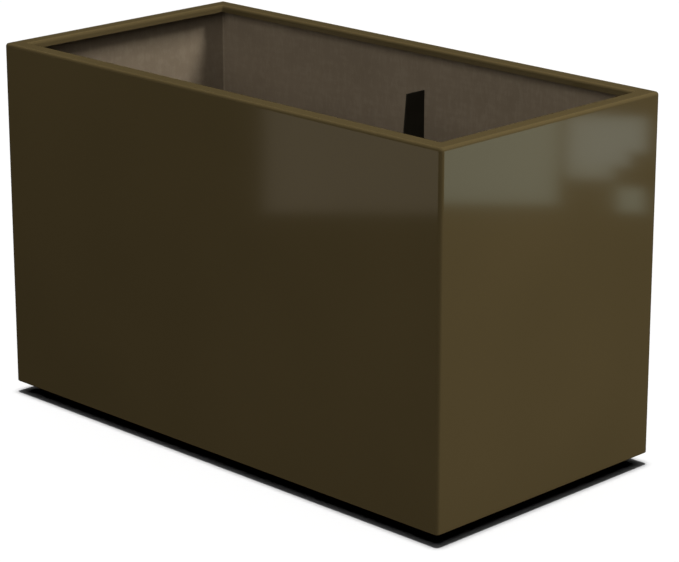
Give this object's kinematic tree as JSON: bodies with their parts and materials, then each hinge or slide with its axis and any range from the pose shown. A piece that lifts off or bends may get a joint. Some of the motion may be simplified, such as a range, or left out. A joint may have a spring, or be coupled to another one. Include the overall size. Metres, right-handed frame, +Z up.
{
  "type": "self watering planter",
  "caption": "Rectangular trough planter with a rolled-in rim, a false floor over a water reservoir, wick baskets, a filler shaft with a float gauge, an overflow, a drain and levelling feet.",
  "frame": {"origin": "on the ground under the middle of the planter", "axes": "+X along the long side, +Y towards the rear wall, +Z up; the filler is at the front right"},
  "size_m": [1, 0.5, 0.62],
  "materials": {
    "bronze_gelcoat": "gloss olive-bronze gelcoat on moulded fibreglass",
    "black_coated_steel": "matte black coating",
    "black_plastic": "moulded, fine matte",
    "grey_plastic": "moulded, fine matte",
    "zinc_plated_steel": "bright zinc plating",
    "black_rubber": "matte rubber",
    "red_plastic": "moulded, satin",
    "pale_foam": "closed-cell foam"
  },
  "bodies": {
    "planter": {"brace_bolt_1": "zinc_plated_steel", "brace_bolt_2": "zinc_plated_steel", "brace_bolt_3": "zinc_plated_steel", "brace_bolt_4": "zinc_plated_steel", "brace_crossbar": "black_coated_steel", "brace_nut_1": "zinc_plated_steel", "brace_nut_2": "zinc_plated_steel", "brace_nut_3": "zinc_plated_steel", "brace_nut_4": "zinc_plated_steel", "drain_fitting": "black_plastic", "drain_gasket": "black_rubber", "drain_nut": "black_plastic", "filler_collar": "grey_plastic", "filler_shaft": "black_plastic", "foot_insert_1": "zinc_plated_steel", "foot_insert_2": "zinc_plated_steel", "foot_insert_3": "zinc_plated_steel", "foot_insert_4": "zinc_plated_steel", "front_brace_rib": "black_coated_steel", "lid_hinge_pin": "zinc_plated_steel", "overflow_fitting": "black_plastic", "overflow_gasket": "black_rubber", "overflow_nut": "black_plastic", "overflow_pipe": "grey_plastic", "overflow_strainer": "black_plastic", "planter_shell": "bronze_gelcoat", "rear_brace_rib": "black_coated_steel", "separator_panel_left": "grey_plastic", "separator_panel_right": "grey_plastic", "shaft_bracket": "black_plastic", "support_column_1": "black_plastic", "support_column_2": "black_plastic", "support_column_3": "black_plastic", "support_column_4": "black_plastic", "support_column_5": "black_plastic", "support_column_6": "black_plastic", "support_column_7": "black_plastic", "support_column_8": "black_plastic", "wick_basket_1": "black_plastic", "wick_basket_2": "black_plastic", "wick_basket_3": "black_plastic", "wick_basket_4": "black_plastic"},
    "gauge": {"gauge_float": "pale_foam", "gauge_rod": "zinc_plated_steel", "gauge_tip": "red_plastic"},
    "lid": {"filler_lid": "grey_plastic"},
    "washer": {"drain_washer": "black_rubber"},
    "plug": {"drain_plug": "grey_plastic"},
    "pad_1": {"foot_pad_1": "black_plastic"},
    "stem_1": {"foot_stem_1": "zinc_plated_steel"},
    "pad_2": {"foot_pad_2": "black_plastic"},
    "stem_2": {"foot_stem_2": "zinc_plated_steel"},
    "pad_3": {"foot_pad_3": "black_plastic"},
    "stem_3": {"foot_stem_3": "zinc_plated_steel"},
    "pad_4": {"foot_pad_4": "black_plastic"},
    "stem_4": {"foot_stem_4": "zinc_plated_steel"}
  },
  "joints": [
    {"name": "lid_hinge", "type": "hinge", "parent": "planter", "child": "lid", "pos_m": [0.3713, -0.192, 0.553], "axis": [0, 1, 0], "range_deg": [0, 110]},
    {"name": "gauge_slide", "type": "slide", "parent": "planter", "child": "gauge", "axis": [0, 0, 1], "range_m": [0, 0.05]},
    {"name": "plug_travel", "type": "slide", "parent": "planter", "child": "washer", "axis": [0, 0, -1], "range_m": [0, 0.003]},
    {"name": "plug_turn", "type": "hinge", "parent": "washer", "child": "plug", "pos_m": [-0.25, 0.17, 0.005], "axis": [0, 0, -1], "range_deg": [0, 720]},
    {"name": "foot_travel_1", "type": "slide", "parent": "planter", "child": "pad_1", "axis": [0, 0, -1], "range_m": [0, 0.012]},
    {"name": "foot_turn_1", "type": "hinge", "parent": "pad_1", "child": "stem_1", "pos_m": [-0.43, -0.19, 0.005], "axis": [0, 0, -1], "range_deg": [0, 2880]},
    {"name": "foot_travel_2", "type": "slide", "parent": "planter", "child": "pad_2", "axis": [0, 0, -1], "range_m": [0, 0.012]},
    {"name": "foot_turn_2", "type": "hinge", "parent": "pad_2", "child": "stem_2", "pos_m": [0.43, -0.19, 0.005], "axis": [0, 0, -1], "range_deg": [0, 2880]},
    {"name": "foot_travel_3", "type": "slide", "parent": "planter", "child": "pad_3", "axis": [0, 0, -1], "range_m": [0, 0.012]},
    {"name": "foot_turn_3", "type": "hinge", "parent": "pad_3", "child": "stem_3", "pos_m": [0.43, 0.19, 0.005], "axis": [0, 0, -1], "range_deg": [0, 2880]},
    {"name": "foot_travel_4", "type": "slide", "parent": "planter", "child": "pad_4", "axis": [0, 0, -1], "range_m": [0, 0.012]},
    {"name": "foot_turn_4", "type": "hinge", "parent": "pad_4", "child": "stem_4", "pos_m": [-0.43, 0.19, 0.005], "axis": [0, 0, -1], "range_deg": [0, 2880]}
  ],
  "couplings": [
    {"joint": "plug_turn", "follows": "plug_travel", "rad_per_m": 4188.8},
    {"joint": "foot_turn_1", "follows": "foot_travel_1", "rad_per_m": 4188.8},
    {"joint": "foot_turn_2", "follows": "foot_travel_2", "rad_per_m": 4188.8},
    {"joint": "foot_turn_3", "follows": "foot_travel_3", "rad_per_m": 4188.8},
    {"joint": "foot_turn_4", "follows": "foot_travel_4", "rad_per_m": 4188.8}
  ]
}
